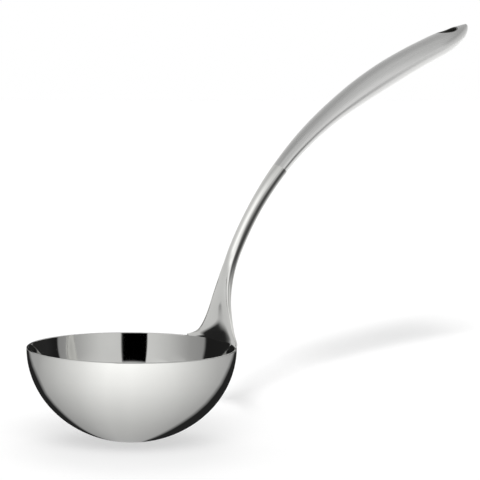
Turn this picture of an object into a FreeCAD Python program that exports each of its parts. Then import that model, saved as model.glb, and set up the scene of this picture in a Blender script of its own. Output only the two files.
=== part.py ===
import FreeCAD, Part
import math
import os

from FreeCAD import Placement, Rotation, Vector

# Soup ladle in stainless steel: a drawn bowl, a forged neck and a hollow grip, welded together.
# Millimetres and degrees. Z is up, X runs from the bowl to the handle, and Y = 0 is the plane of symmetry.
# The origin is the lowest point of the bowl, on the bowl's axis.

# Bowl: half an ellipsoid
BOWL_RIM_DIAMETER = 104.0
BOWL_DEPTH = 47.0
BOWL_WALL = 1.0

# Handle line: it rises straight from the rim, then leans out in three tangent bends
HANDLE_LENGTH = 232.0
HANDLE_RISE = 18.0
NECK_BEND_RADIUS = 71.4
NECK_BEND_TURN = 23.6
STEM_BEND_RADIUS = 167.0
STEM_BEND_TURN = 32.1
GRIP_BEND_RADIUS = 354.0

# Neck: an apron as thin as the bowl's wall, drawn in to an oval stem with a spigot
APRON_WIDTH = 53.0
APRON_LENGTH = 48.0
STEM_WIDTH = 9.2
STEM_THICKNESS = 6.2
NECK_LENGTH = 94.0
SPIGOT_LENGTH = 16.0
SPIGOT_CLEARANCE = 0.15

# Hollow grip, pressed in two shells
GRIP_WIDTH = 23.5
GRIP_THICKNESS = 13.0
GRIP_END_LENGTH = 26.0
SHELL_WALL = 0.9

# Hanging hole
HOLE_DIAMETER = 10.0
HOLE_FROM_TIP = 13.0
SLEEVE_WALL = 0.8

# Weld runs, ground flush
FOOT_WELD_WIDTH = 1.0
NECK_WELD_WIDTH = 1.0
SEAM_WELD_WIDTH = 0.8
SLEEVE_WELD_WIDTH = 0.6

# How far cutting solids reach past what they cut
OVERRUN = 20.0

# Flare of the apron: most of it is a long taper, and the rest a tight fillet at the foot
TAPER_SHARE = 0.76
TAPER_POWER = 2.35
FILLET_POWER = 25

# The sides of the apron curl towards the bowl by a share of half the width, and flatten out on the way up
CURL_SHARE = 0.212
FLATTEN_START_SHARE = 0.32

# Rows of the grip: how far from stem to grip end, then how much of the swell in width and in thickness
GRIP_SWELL_SHARES = (
    (0.0, 0.0, 0.0),
    (0.13, 0.01, 0.02),
    (0.23, 0.08, 0.09),
    (0.33, 0.19, 0.17),
    (0.43, 0.38, 0.26),
    (0.53, 0.57, 0.41),
    (0.61, 0.71, 0.63),
    (0.69, 0.83, 0.86),
    (0.80, 0.95, 1.0),
    (0.90, 1.0, 0.96),
    (1.0, 1.0, 0.87),
)

# Grip end: how far its top comes down to the handle line, where its skin and its hollow stop, and how
# bluntly it closes in width and in thickness (a power of 0.5 is an ellipse, 1 a parabola)
TIP_DROP_SHARE = 0.28
SKIN_END_SHARE = 0.985
HOLLOW_END_SHARE = 0.88
END_WIDTH_POWER = 0.75
END_THICKNESS_POWER = 0.6

# Radius of a section's two sides, as a share of half its thickness, on the stem and grip
SIDE_ROUND_SHARE = 0.62

# Spans between the stations of each form: the spans are straight, and short enough to look smooth
BOWL_SPANS = 16
APRON_SPANS = 18
GRIP_SPANS = 24
GRIP_END_SPANS = 8

# How strongly the stations crowd together at the foot and at the tip: 1 is even
CROWDING_POWER = 1.7

RIM_RADIUS = BOWL_RIM_DIAMETER / 2
FOOT_RADIUS = RIM_RADIUS - BOWL_WALL / 2
GRIP_START = APRON_LENGTH
GRIP_END_START = HANDLE_LENGTH - GRIP_END_LENGTH
SKIN_END = GRIP_END_START + GRIP_END_LENGTH * SKIN_END_SHARE
HOLLOW_END = GRIP_END_START + GRIP_END_LENGTH * HOLLOW_END_SHARE
SLEEVE_RADIUS = HOLE_DIAMETER / 2 + SLEEVE_WALL
CUT_REACH = HANDLE_LENGTH + BOWL_RIM_DIAMETER


def smooth(share):
    """Rise from 0 to 1 that starts and ends level."""
    share = min(max(share, 0), 1)
    return share * share * (3 - 2 * share)


def between(start, end, share):
    return start + (end - start) * share


def row_slope(rows, index, column):
    """Slope of a column at a row, from the rows on both sides of it."""
    before, after = rows[max(index - 1, 0)], rows[min(index + 1, len(rows) - 1)]
    return (after[column] - before[column]) / (after[0] - before[0])


def row_value(rows, share, column):
    """Value of a column at a share: a smooth curve through the rows."""
    index = max(i for i in range(len(rows) - 1) if i == 0 or rows[i][0] <= share)
    span = rows[index + 1][0] - rows[index][0]
    t = (share - rows[index][0]) / span
    start_slope = row_slope(rows, index, column) * span
    end_slope = row_slope(rows, index + 1, column) * span
    bow = t * (1 - t) * ((1 - t) * start_slope - t * end_slope)
    lean = t * (1 - t) * (2 * t - 1) * (rows[index + 1][column] - rows[index][column])
    return between(rows[index][column], rows[index + 1][column], t) + bow + lean


def handle_frame(distance):
    """Placement on the handle line: X runs along it, Y across it and Z out of its top."""
    neck_bend = NECK_BEND_RADIUS * math.radians(NECK_BEND_TURN)
    stem_bend = STEM_BEND_RADIUS * math.radians(STEM_BEND_TURN)
    bends = ((neck_bend, NECK_BEND_RADIUS), (stem_bend, STEM_BEND_RADIUS), (CUT_REACH, GRIP_BEND_RADIUS))
    place = Vector(FOOT_RADIUS, 0, BOWL_DEPTH + min(distance, HANDLE_RISE))
    heading = math.pi / 2
    left = max(0, distance - HANDLE_RISE)
    for length, radius in bends:
        turned = heading - min(left, length) / radius
        step = Vector(math.sin(heading) - math.sin(turned), 0, math.cos(turned) - math.cos(heading))
        place += step * radius
        heading = turned
        left = max(0, left - length)
    return Placement(place, Rotation(Vector(0, 1, 0), -math.degrees(heading)))


def tangent_point(side_y, side_z, side_round, crest):
    """Where the arc over the crest of a section touches the round on its side."""
    rise = side_z - crest
    radius = (side_round ** 2 - side_y ** 2 - rise ** 2) / (2 * (rise + side_round))
    reach = Vector(0, side_y, side_z - crest + radius)
    return Vector(0, side_y, side_z) + reach * (math.copysign(side_round, radius) / reach.Length)


def mirrored(point):
    return Vector(point.x, -point.y, point.z)


def flipped(point):
    return Vector(point.x, point.y, -point.z)


def apron_shape(share):
    """Half width, crest height, under height, side round and side height of the trough-shaped apron."""
    fillet = (1 - share) ** FILLET_POWER
    flare = between(fillet, (1 - share) ** TAPER_POWER, TAPER_SHARE)
    half_width = between(STEM_WIDTH, APRON_WIDTH, flare) / 2
    half_thickness = between(BOWL_WALL, STEM_THICKNESS, smooth(share)) / 2
    side_round = half_thickness * between(1, SIDE_ROUND_SHARE, share)
    side_y = half_width - side_round
    trough = half_width * CURL_SHARE * (1 - smooth((share - FLATTEN_START_SHARE) / (1 - FLATTEN_START_SHARE)))
    rim_curl = FOOT_RADIUS - math.sqrt(max(FOOT_RADIUS ** 2 - side_y ** 2, 0))
    return half_width, half_thickness, half_thickness, side_round, between(trough, rim_curl, fillet)


def grip_shape(share):
    """The same five sizes on the stem and grip, which swell from the stem to the grip end."""
    half_width = between(STEM_WIDTH, GRIP_WIDTH, row_value(GRIP_SWELL_SHARES, share, 1)) / 2
    half_thickness = between(STEM_THICKNESS, GRIP_THICKNESS, row_value(GRIP_SWELL_SHARES, share, 2)) / 2
    return half_width, half_thickness, half_thickness, half_thickness * SIDE_ROUND_SHARE, 0


def grip_end_shape(share):
    """The same five sizes on the rounded end, where the under side comes up to meet the top."""
    full_width, full_thickness = grip_shape(1)[:2]
    closing = 1 - share ** 2
    half_thickness = full_thickness * closing ** END_THICKNESS_POWER
    crest = full_thickness * (1 - TIP_DROP_SHARE * share ** 2)
    seam = crest - half_thickness
    half_width = full_width * closing ** END_WIDTH_POWER
    return half_width, crest, half_thickness - seam, half_thickness * SIDE_ROUND_SHARE, seam


def handle_shape(distance):
    if distance < GRIP_START:
        return apron_shape(max(distance - FOOT_WELD_WIDTH, 0) / (GRIP_START - FOOT_WELD_WIDTH))
    if distance < GRIP_END_START:
        return grip_shape((distance - GRIP_START) / (GRIP_END_START - GRIP_START))
    return grip_end_shape((distance - GRIP_END_START) / GRIP_END_LENGTH)


def handle_section(distance, inset):
    """Closed section across the handle, drawn in by the inset: two crests and two sides, in tangent arcs."""
    half_width, top, under, side_round, side_z = handle_shape(distance)
    side_y = half_width - side_round
    upper = tangent_point(side_y, side_z, side_round - inset, top - inset)
    lower = flipped(tangent_point(side_y, -side_z, side_round - inset, under - inset))
    edge = Vector(0, half_width - inset, side_z)
    arcs = (
        (mirrored(upper), Vector(0, 0, top - inset), upper),
        (upper, edge, lower),
        (lower, Vector(0, 0, inset - under), mirrored(lower)),
        (mirrored(lower), mirrored(edge), mirrored(upper)),
    )
    frame = handle_frame(distance)
    return Part.Wire([Part.Arc(*[frame.multVec(point) for point in arc]).toShape() for arc in arcs])


def stations(start, end):
    """Distances along the handle from start to end, closest together at the foot and at the tip."""
    opening = [(i / APRON_SPANS) ** CROWDING_POWER for i in range(APRON_SPANS)]
    closing = [1 - (1 - i / GRIP_END_SPANS) ** CROWDING_POWER for i in range(GRIP_END_SPANS)]
    apron = [between(FOOT_WELD_WIDTH, GRIP_START, share) for share in opening]
    grip = [between(GRIP_START, GRIP_END_START, i / GRIP_SPANS) for i in range(GRIP_SPANS)]
    grip_end = [between(GRIP_END_START, HANDLE_LENGTH, share) for share in closing]
    return [start] + [d for d in apron + grip + grip_end if start < d < end] + [end]


def handle_loft(start, end, inset):
    """Solid stretch of the handle, drawn in by the inset."""
    return Part.makeLoft([handle_section(distance, inset) for distance in stations(start, end)], True, True)


def above_seam(lift):
    """Block above the grip's parting line, lifted, which follows the widest part of the grip to its tip."""
    points = []
    for distance in stations(NECK_LENGTH, SKIN_END):
        points.append(handle_frame(distance).multVec(Vector(0, 0, handle_shape(distance)[4] + lift)))
    ahead = handle_frame(SKIN_END).Rotation.multVec(Vector(OVERRUN, 0, 0))
    back = handle_frame(NECK_LENGTH).Rotation.multVec(Vector(-OVERRUN, 0, 0))
    points = [points[0] + back] + points + [points[-1] + ahead]
    points += [points[-1] + Vector(0, 0, CUT_REACH), points[0] + Vector(0, 0, CUT_REACH), points[0]]
    block = Part.Face(Part.makePolygon(points)).extrude(Vector(0, GRIP_WIDTH + 2 * OVERRUN, 0))
    block.translate(Vector(0, -GRIP_WIDTH / 2 - OVERRUN, 0))
    return block


def hole_cylinder(radius):
    """Cylinder through the grip, square to the handle line at the hanging hole."""
    frame = handle_frame(HANDLE_LENGTH - HOLE_FROM_TIP)
    reach = GRIP_THICKNESS / 2 + OVERRUN
    axis = frame.Rotation.multVec(Vector(0, 0, 1))
    return Part.makeCylinder(radius, 2 * reach, frame.Base - axis * reach, axis)


def bowl_curve(inset):
    """Points of the bowl's profile from rim to bottom, on a quarter of an ellipse."""
    angles = [math.pi / 2 * i / BOWL_SPANS for i in range(BOWL_SPANS)]
    radius, depth = RIM_RADIUS - inset, BOWL_DEPTH - inset
    points = [Vector(radius * math.cos(a), 0, BOWL_DEPTH - depth * math.sin(a)) for a in angles]
    return points + [Vector(0, 0, inset)]


def bowl():
    outer, inner = bowl_curve(0), bowl_curve(BOWL_WALL)
    profile = Part.makePolygon(outer + inner[::-1] + outer[:1])
    return Part.Face(profile).revolve(Vector(0, 0, 0), Vector(0, 0, 1), 360)


def neck():
    """Apron and stem, with a spigot that enters the hollow grip."""
    spigot = handle_loft(NECK_LENGTH, NECK_LENGTH + SPIGOT_LENGTH, SHELL_WALL + SPIGOT_CLEARANCE)
    return handle_loft(FOOT_WELD_WIDTH, NECK_LENGTH, 0).fuse(spigot)


def main():
    shell_start = NECK_LENGTH + NECK_WELD_WIDTH
    hollow = handle_loft(NECK_LENGTH - NECK_WELD_WIDTH, HOLLOW_END, SHELL_WALL)
    grip = handle_loft(shell_start, SKIN_END, 0)
    sleeve_block = hole_cylinder(SLEEVE_RADIUS)
    weld_block = hole_cylinder(SLEEVE_RADIUS + SLEEVE_WELD_WIDTH)
    casing = grip.cut(hollow)
    shells = casing.cut(weld_block)
    raised_block, lowered_block = above_seam(SEAM_WELD_WIDTH / 2), above_seam(-SEAM_WELD_WIDTH / 2)
    parts = {
        "bowl": bowl(),
        "neck": neck(),
        "grip_upper_shell": shells.common(raised_block),
        "grip_lower_shell": shells.cut(lowered_block),
        "hanging_sleeve": grip.common(sleeve_block).cut(hole_cylinder(HOLE_DIAMETER / 2)),
        "bowl_weld": handle_loft(0, FOOT_WELD_WIDTH, 0),
        "neck_weld": handle_loft(NECK_LENGTH, shell_start, 0).cut(hollow),
        "seam_weld": shells.common(lowered_block).cut(raised_block),
        "sleeve_welds": casing.common(weld_block).cut(sleeve_block),
    }
    os.makedirs("parts", exist_ok=True)
    for name, shape in parts.items():
        print(name, shape.isValid(), len(shape.Solids), round(shape.Volume, 2))
        shape.exportStep("parts/" + name + ".step")


main()
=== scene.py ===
import math

import bmesh
import bpy
import numpy as np
from mathutils import Matrix, Vector
from mathutils.bvhtree import BVHTree
from mathutils.interpolate import poly_3d_calc


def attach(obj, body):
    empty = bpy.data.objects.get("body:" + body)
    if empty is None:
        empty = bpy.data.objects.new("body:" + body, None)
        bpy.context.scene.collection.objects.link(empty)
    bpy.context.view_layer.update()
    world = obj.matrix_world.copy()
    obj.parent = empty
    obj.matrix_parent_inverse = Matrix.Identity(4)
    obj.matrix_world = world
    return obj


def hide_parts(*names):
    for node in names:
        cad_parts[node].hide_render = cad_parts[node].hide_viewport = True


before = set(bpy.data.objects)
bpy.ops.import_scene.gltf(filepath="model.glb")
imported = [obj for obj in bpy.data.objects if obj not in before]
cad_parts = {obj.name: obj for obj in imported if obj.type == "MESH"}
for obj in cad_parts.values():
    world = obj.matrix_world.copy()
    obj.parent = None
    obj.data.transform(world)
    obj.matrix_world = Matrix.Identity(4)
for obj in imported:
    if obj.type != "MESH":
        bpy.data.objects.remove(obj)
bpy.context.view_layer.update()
scene = bpy.context.scene

# Sizes are in millimetres, as in the part's source. Points become metres when a mesh is made.
MM = 0.001

# Bowl
BOWL_RIM_DIAMETER = 104.0
BOWL_DEPTH = 47.0
BOWL_WALL = 1.0
RIM_ROUND = 0.36
RIM_ROUND_LEFT = 0.02
RIM_ROUND_RUN = math.radians(2.5)
RIM_LEAN = math.radians(18)
RIM_LEAN_DEPTH = 22.0

# Handle line
HANDLE_LENGTH = 232.0
HANDLE_RISE = 18.0
NECK_BEND_RADIUS = 71.4
NECK_BEND_TURN = math.radians(23.6)
STEM_BEND_RADIUS = 167.0
STEM_BEND_TURN = math.radians(32.1)
GRIP_BEND_RADIUS = 354.0

# Neck
APRON_WIDTH = 53.0
APRON_LENGTH = 48.0
STEM_WIDTH = 9.2
STEM_THICKNESS = 6.2
NECK_LENGTH = 94.0
SPIGOT_LENGTH = 16.0
SPIGOT_CLEARANCE = 0.15

# Grip
GRIP_WIDTH = 23.5
GRIP_THICKNESS = 13.0
GRIP_END_LENGTH = 26.0
SHELL_WALL = 0.9
TIP_CAP = 0.6

# Hanging hole
HOLE_DIAMETER = 10.0
HOLE_FROM_TIP = 13.0
HOLE_EDGE_ROUND = 0.35
SLEEVE_WALL = 0.8

# Weld runs
FOOT_WELD_WIDTH = 1.0
NECK_WELD_WIDTH = 1.0
SEAM_WELD_WIDTH = 0.8
SLEEVE_WELD_WIDTH = 0.6

# Shapes of the apron and the grip
TAPER_SHARE = 0.76
TAPER_POWER = 2.35
FILLET_POWER = 25
CURL_SHARE = 0.212
FLATTEN_START_SHARE = 0.32
GRIP_SWELL_SHARES = (
    (0.0, 0.0, 0.0),
    (0.13, 0.01, 0.02),
    (0.23, 0.08, 0.09),
    (0.33, 0.19, 0.17),
    (0.43, 0.38, 0.26),
    (0.53, 0.57, 0.41),
    (0.61, 0.71, 0.63),
    (0.69, 0.83, 0.86),
    (0.80, 0.95, 1.0),
    (0.90, 1.0, 0.96),
    (1.0, 1.0, 0.87),
)
TIP_DROP_SHARE = 0.28
SKIN_END_SHARE = 0.985
HOLLOW_END_SHARE = 0.88
END_WIDTH_POWER = 0.75
END_THICKNESS_POWER = 0.6
SIDE_ROUND_SHARE = 0.62

# Shading of the handle, by millimetres from its foot: how far the apron's front leans back, how flat it is,
# and where the oval stem begins
APRON_LEAN_FOOT = math.radians(11)
APRON_LEAN_TOP = math.radians(22)
APRON_LEAN_WINGS = math.radians(14)
APRON_LEAN_RISE = 12.0
APRON_LEAN_FADE = 27.0
APRON_LEAN_END = 44.0
APRON_FLATNESS = 0.85
OVAL_START = 44.0
OVAL_END = 60.0
APRON_EDGE_POWER = 40

# How fine the meshes are
APRON_ROWS = 130
GRIP_ROWS = 150
GRIP_END_ROWS = 70
CAP_ROWS = 8
CROWDING_POWER = 1.7
CREST_COLUMNS = 40
SIDE_COLUMNS = 8
SEAM_COLUMNS = 4
BOWL_SEGMENTS = 288
BOWL_ROWS = 90
RIM_ROWS = 6
HOLE_SEGMENTS = 96
BORDER_CLEARANCE = 0.02
SEAM_SINE_LIMIT = 0.94
SEAM_SHARE_LIMIT = 0.9

# How close points are taken to be one, to lie on the plane of symmetry or on the skin, in metres, and how
# far a face on the skin may turn from it
JOIN_DISTANCE = 1e-7
MIDDLE_GAP = 1e-8
SKIN_GAP = 3e-6
SKIN_FACING = 0.7
SHARP_ANGLE = math.radians(35)

RIM_RADIUS = BOWL_RIM_DIAMETER / 2
FOOT_RADIUS = RIM_RADIUS - BOWL_WALL / 2
GRIP_START = APRON_LENGTH
GRIP_END_START = HANDLE_LENGTH - GRIP_END_LENGTH
SKIN_END = GRIP_END_START + GRIP_END_LENGTH * SKIN_END_SHARE
HOLLOW_END = GRIP_END_START + GRIP_END_LENGTH * HOLLOW_END_SHARE
SHELL_START = NECK_LENGTH + NECK_WELD_WIDTH
SLEEVE_RADIUS = HOLE_DIAMETER / 2 + SLEEVE_WALL
WELD_RADIUS = SLEEVE_RADIUS + SLEEVE_WELD_WIDTH


def smooth(share):
    """Rise from 0 to 1 that starts and ends level."""
    share = min(max(share, 0), 1)
    return share * share * (3 - 2 * share)


def between(start, end, share):
    return start + (end - start) * share


def row_slope(rows, index, column):
    before, after = rows[max(index - 1, 0)], rows[min(index + 1, len(rows) - 1)]
    return (after[column] - before[column]) / (after[0] - before[0])


def row_value(rows, share, column):
    """Value of a column at a share: a smooth curve through the rows."""
    index = max(i for i in range(len(rows) - 1) if i == 0 or rows[i][0] <= share)
    span = rows[index + 1][0] - rows[index][0]
    t = (share - rows[index][0]) / span
    start_slope = row_slope(rows, index, column) * span
    end_slope = row_slope(rows, index + 1, column) * span
    bow = t * (1 - t) * ((1 - t) * start_slope - t * end_slope)
    lean = t * (1 - t) * (2 * t - 1) * (rows[index + 1][column] - rows[index][column])
    return between(rows[index][column], rows[index + 1][column], t) + bow + lean


def handle_frame(distance):
    """Place on the handle line, its direction there, and the direction out of the handle's top."""
    bends = (
        (NECK_BEND_RADIUS * NECK_BEND_TURN, NECK_BEND_RADIUS),
        (STEM_BEND_RADIUS * STEM_BEND_TURN, STEM_BEND_RADIUS),
        (HANDLE_LENGTH, GRIP_BEND_RADIUS),
    )
    x, z = FOOT_RADIUS, BOWL_DEPTH + min(distance, HANDLE_RISE)
    heading = math.pi / 2
    left = max(0, distance - HANDLE_RISE)
    for length, radius in bends:
        turned = heading - min(left, length) / radius
        x += (math.sin(heading) - math.sin(turned)) * radius
        z += (math.cos(turned) - math.cos(heading)) * radius
        heading = turned
        left = max(0, left - length)
    along = Vector((math.cos(heading), 0, math.sin(heading)))
    out = Vector((-math.sin(heading), 0, math.cos(heading)))
    return Vector((x, 0, z)), along, out


def apron_shape(share):
    """Half width, crest height, under height, side round and side height of the trough-shaped apron."""
    fillet = (1 - share) ** FILLET_POWER
    flare = between(fillet, (1 - share) ** TAPER_POWER, TAPER_SHARE)
    half_width = between(STEM_WIDTH, APRON_WIDTH, flare) / 2
    half_thickness = between(BOWL_WALL, STEM_THICKNESS, smooth(share)) / 2
    side_round = half_thickness * between(1, SIDE_ROUND_SHARE, share)
    side_y = half_width - side_round
    flattening = smooth((share - FLATTEN_START_SHARE) / (1 - FLATTEN_START_SHARE))
    trough = half_width * CURL_SHARE * (1 - flattening)
    rim_curl = FOOT_RADIUS - math.sqrt(max(FOOT_RADIUS ** 2 - side_y ** 2, 0))
    return half_width, half_thickness, half_thickness, side_round, between(trough, rim_curl, fillet)


def grip_shape(share):
    """The same five sizes on the stem and grip, which swell from the stem to the grip end."""
    half_width = between(STEM_WIDTH, GRIP_WIDTH, row_value(GRIP_SWELL_SHARES, share, 1)) / 2
    half_thickness = between(STEM_THICKNESS, GRIP_THICKNESS, row_value(GRIP_SWELL_SHARES, share, 2)) / 2
    return half_width, half_thickness, half_thickness, half_thickness * SIDE_ROUND_SHARE, 0


def grip_end_shape(share):
    """The same five sizes on the rounded end, where the under side comes up to meet the top."""
    full_width, full_thickness = grip_shape(1)[:2]
    closing = 1 - share ** 2
    half_thickness = full_thickness * closing ** END_THICKNESS_POWER
    crest = full_thickness * (1 - TIP_DROP_SHARE * share ** 2)
    seam = crest - half_thickness
    half_width = full_width * closing ** END_WIDTH_POWER
    return half_width, crest, half_thickness - seam, half_thickness * SIDE_ROUND_SHARE, seam


def handle_shape(distance):
    if distance < GRIP_START:
        return apron_shape(max(distance - FOOT_WELD_WIDTH, 0) / (GRIP_START - FOOT_WELD_WIDTH))
    if distance < GRIP_END_START:
        return grip_shape((distance - GRIP_START) / (GRIP_END_START - GRIP_START))
    return grip_end_shape((distance - GRIP_END_START) / GRIP_END_LENGTH)


def crest_arc(side_y, side_z, side_round, crest):
    """Points of the arc over a crest, from side to side, and the angle at which it meets the side round."""
    rise = side_z - crest
    radius = (side_round ** 2 - side_y ** 2 - rise ** 2) / (2 * (rise + side_round))
    reach_y, reach_z = side_y, side_z - crest + radius
    scale = math.copysign(side_round, radius) / math.hypot(reach_y, reach_z)
    end_y, end_z = side_y + reach_y * scale, side_z + reach_z * scale
    sweep = math.atan2(end_y / radius, (end_z - crest + radius) / radius)
    points = []
    for i in range(CREST_COLUMNS + 1):
        angle = between(-sweep, sweep, i / CREST_COLUMNS)
        points.append((radius * math.sin(angle), crest - radius * 2 * math.sin(angle / 2) ** 2))
    return points, math.atan2(reach_z * scale, reach_y * scale)


def side_angles(upper_angle, lower_angle, side_round):
    """Angles round a side, from the crest above to the crest below, with the seam's borders among them."""
    seam = math.asin(min(SEAM_WELD_WIDTH / 2 / side_round, SEAM_SINE_LIMIT))
    seam = min(seam, upper_angle * SEAM_SHARE_LIMIT, -lower_angle * SEAM_SHARE_LIMIT)
    above = [between(upper_angle, seam, i / SIDE_COLUMNS) for i in range(SIDE_COLUMNS)]
    band = [between(seam, -seam, i / SEAM_COLUMNS) for i in range(SEAM_COLUMNS)]
    below = [between(-seam, lower_angle, i / SIDE_COLUMNS) for i in range(SIDE_COLUMNS + 1)]
    return above + band + below


# A ring of section points starts on the crest at the left side and goes over the top, down the right side,
# under the handle and up the left side
RIGHT_SEAM = CREST_COLUMNS + SIDE_COLUMNS
UNDER_START = RIGHT_SEAM + SEAM_COLUMNS + SIDE_COLUMNS
LEFT_SEAM = UNDER_START + CREST_COLUMNS + SIDE_COLUMNS
COLUMNS = LEFT_SEAM + SEAM_COLUMNS + SIDE_COLUMNS


def section(distance, inset):
    """Ring of points across the handle in its own plane: sideways and out of the top."""
    half_width, top, under, side_round, side_z = handle_shape(distance)
    side_y = half_width - side_round
    side_round -= inset
    upper, upper_angle = crest_arc(side_y, side_z, side_round, top - inset)
    lower, lower_angle = crest_arc(side_y, -side_z, side_round, under - inset)
    angles = side_angles(upper_angle, -lower_angle, side_round)
    right = [(side_y + side_round * math.cos(a), side_z + side_round * math.sin(a)) for a in angles]
    left = [(-y, z) for y, z in reversed(right)]
    below = [(y, -z) for y, z in reversed(lower)]
    return upper[:-1] + right[:-1] + below[:-1] + left[:-1]


def ring(distance, inset=0.0):
    """The same ring in space, closing in to a point over the last of the tip."""
    place, along, out = handle_frame(distance)
    points = section(distance, inset)
    cap = max(0.0, (distance - SKIN_END) / TIP_CAP + 1)
    if inset == 0 and cap > 0:
        keep = math.sqrt(max(1 - cap ** 2, 0))
        middle = sum(z for y, z in points) / len(points)
        points = [(y * keep, middle + (z - middle) * keep) for y, z in points]
    return [place + Vector((0, y, 0)) + out * z for y, z in points]


def stations():
    """Distances along the handle, closest together at the foot and the tip, with every border among them."""
    borders = [0, FOOT_WELD_WIDTH, GRIP_START, NECK_LENGTH, SHELL_START]
    borders += [GRIP_END_START, HOLLOW_END, SKIN_END]
    spread = [FOOT_WELD_WIDTH / 2]
    for i in range(1, APRON_ROWS):
        spread.append(between(FOOT_WELD_WIDTH, GRIP_START, (i / APRON_ROWS) ** CROWDING_POWER))
    for i in range(1, GRIP_ROWS):
        spread.append(between(GRIP_START, GRIP_END_START, i / GRIP_ROWS))
    for i in range(1, GRIP_END_ROWS):
        share = 1 - (1 - i / GRIP_END_ROWS) ** CROWDING_POWER
        spread.append(between(GRIP_END_START, SKIN_END - TIP_CAP, share))
    for i in range(CAP_ROWS):
        spread.append(SKIN_END - TIP_CAP * (1 - math.sin(math.pi / 2 * i / CAP_ROWS)))
    clear = [d for d in spread if min(abs(d - b) for b in borders) > BORDER_CLEARANCE]
    return sorted(borders + clear)


STATIONS = stations()


def stretch(start, end):
    return [d for d in STATIONS if start <= d <= end]


def girth(points):
    """Distance of each point of a ring from the crest's middle, round the ring, to either side."""
    middle = CREST_COLUMNS // 2
    around = [0.0] * COLUMNS
    for step in (1, -1):
        length = 0.0
        for i in range(COLUMNS // 2):
            here, there = (middle + step * i) % COLUMNS, (middle + step * (i + 1)) % COLUMNS
            length += (points[there] - points[here]).length
            around[there] = step * length
    return around


class Skin:
    """The whole outer skin of the handle. Each piece takes its normals and its brush direction from it, so
    that reflections and brush marks run on over the ground welds."""

    def __init__(self):
        rings = [ring(d) for d in STATIONS]
        points = [p * MM for r in rings for p in r]
        rows = len(rings)
        faces = []
        for i in range(rows - 1):
            for j in range(COLUMNS):
                k = (j + 1) % COLUMNS
                a, b = i * COLUMNS, (i + 1) * COLUMNS
                faces.append((a + j, b + j, b + k, a + k))
        mesh = bpy.data.meshes.new("skin")
        mesh.from_pydata(points, [], faces)
        mesh.update()
        self.points = points
        self.faces = faces
        self.normals = [v.normal.copy() for v in mesh.vertices]
        self.round_sections()
        self.lean_apron()
        self.tree = BVHTree.FromPolygons(points, faces)
        self.brush = [Vector((d, around, 0)) * MM for d, r in zip(STATIONS, rings) for around in girth(r)]
        bpy.data.meshes.remove(mesh)

    def round_sections(self):
        """Past the apron the steel is polished evenly round, so its normals turn as those of an oval."""
        for i, d in enumerate(STATIONS):
            weight = smooth((d - OVAL_START) / (OVAL_END - OVAL_START))
            half_width, top, under, _, _ = handle_shape(min(d, SKIN_END - TIP_CAP))
            _, along, out = handle_frame(d)
            middle, half_height = (top - under) / 2, (top + under) / 2
            for j, (y, z) in enumerate(section(d, 0)):
                normal = self.normals[i * COLUMNS + j]
                lean = normal.dot(along)
                oval = Vector((0, y / half_width ** 2, 0)) + out * ((z - middle) / half_height ** 2)
                oval = oval.normalized() * math.sqrt(1 - lean ** 2) + along * lean
                self.normals[i * COLUMNS + j] = normal.lerp(oval, weight).normalized()

    def lean_apron(self):
        """The front of the apron is shaded as leaning back, as the bowl's wall does at the rim, and flat."""
        for i, d in enumerate(STATIONS):
            if d > APRON_LEAN_END:
                break
            fade = 1 - smooth((d - APRON_LEAN_RISE) / (APRON_LEAN_END - APRON_LEAN_RISE))
            lean = between(APRON_LEAN_FOOT, APRON_LEAN_TOP, smooth(d / APRON_LEAN_RISE))
            lean *= 1 - smooth((d - APRON_LEAN_FADE) / (APRON_LEAN_END - APRON_LEAN_FADE))
            middle = self.normals[i * COLUMNS + CREST_COLUMNS // 2].copy()
            for j in range(CREST_COLUMNS + 1):
                across = 2 * j / CREST_COLUMNS - 1
                inside = 1 - across ** APRON_EDGE_POWER
                turn = Matrix.Rotation((lean + APRON_LEAN_WINGS * fade * across ** 2) * inside, 3, "Y")
                flat = self.normals[i * COLUMNS + j].lerp(middle, APRON_FLATNESS * fade * inside)
                self.normals[i * COLUMNS + j] = (turn @ flat).normalized()

    def near(self, point):
        """Distance from the skin, the skin's normal there, and the place along and round the handle."""
        place, _, index, gap = self.tree.find_nearest(point)
        corners = self.faces[index]
        weights = poly_3d_calc([self.points[c] for c in corners], place)
        normal = Vector((0, 0, 0))
        brush = Vector((0, 0, 0))
        for corner, weight in zip(corners, weights):
            normal += self.normals[corner] * weight
            brush += self.brush[corner] * weight
        return gap, normal.normalized(), brush

    def height(self, start, direction):
        """Where a line first meets the skin, in millimetres from its start."""
        hit = self.tree.ray_cast(start * MM, direction)
        return hit[3] / MM


skin = Skin()


def tube_faces(count, columns, closed=False):
    """Quads between successive rings of points."""
    faces = []
    for i in range(count if closed else count - 1):
        a, b = i * columns, (i + 1) % count * columns
        for j in range(columns):
            k = (j + 1) % columns
            faces.append((a + j, a + k, b + k, b + j))
    return faces


def ladder_cap(first, columns, start, flip):
    """Quads that close a ring of points by steps from one side of it to the other."""
    faces = []
    for step in range(columns // 2 - 1):
        a = first + (start + step) % columns
        b = first + (start + step + 1) % columns
        c = first + (start - step - 2) % columns
        d = first + (start - step - 1) % columns
        faces.append((d, c, b, a) if flip else (a, b, c, d))
    return faces


def clean_mesh(name, points, faces):
    """Mesh in metres with doubled points joined and empty faces taken out."""
    shape = bmesh.new()
    made = [shape.verts.new(p * MM) for p in points]
    for face in faces:
        shape.faces.new([made[i] for i in face])
    bmesh.ops.remove_doubles(shape, verts=shape.verts, dist=JOIN_DISTANCE)
    bmesh.ops.dissolve_degenerate(shape, edges=shape.edges, dist=JOIN_DISTANCE)
    bmesh.ops.recalc_face_normals(shape, faces=shape.faces)
    mesh = bpy.data.meshes.new(name)
    shape.to_mesh(mesh)
    shape.free()
    return mesh


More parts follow.
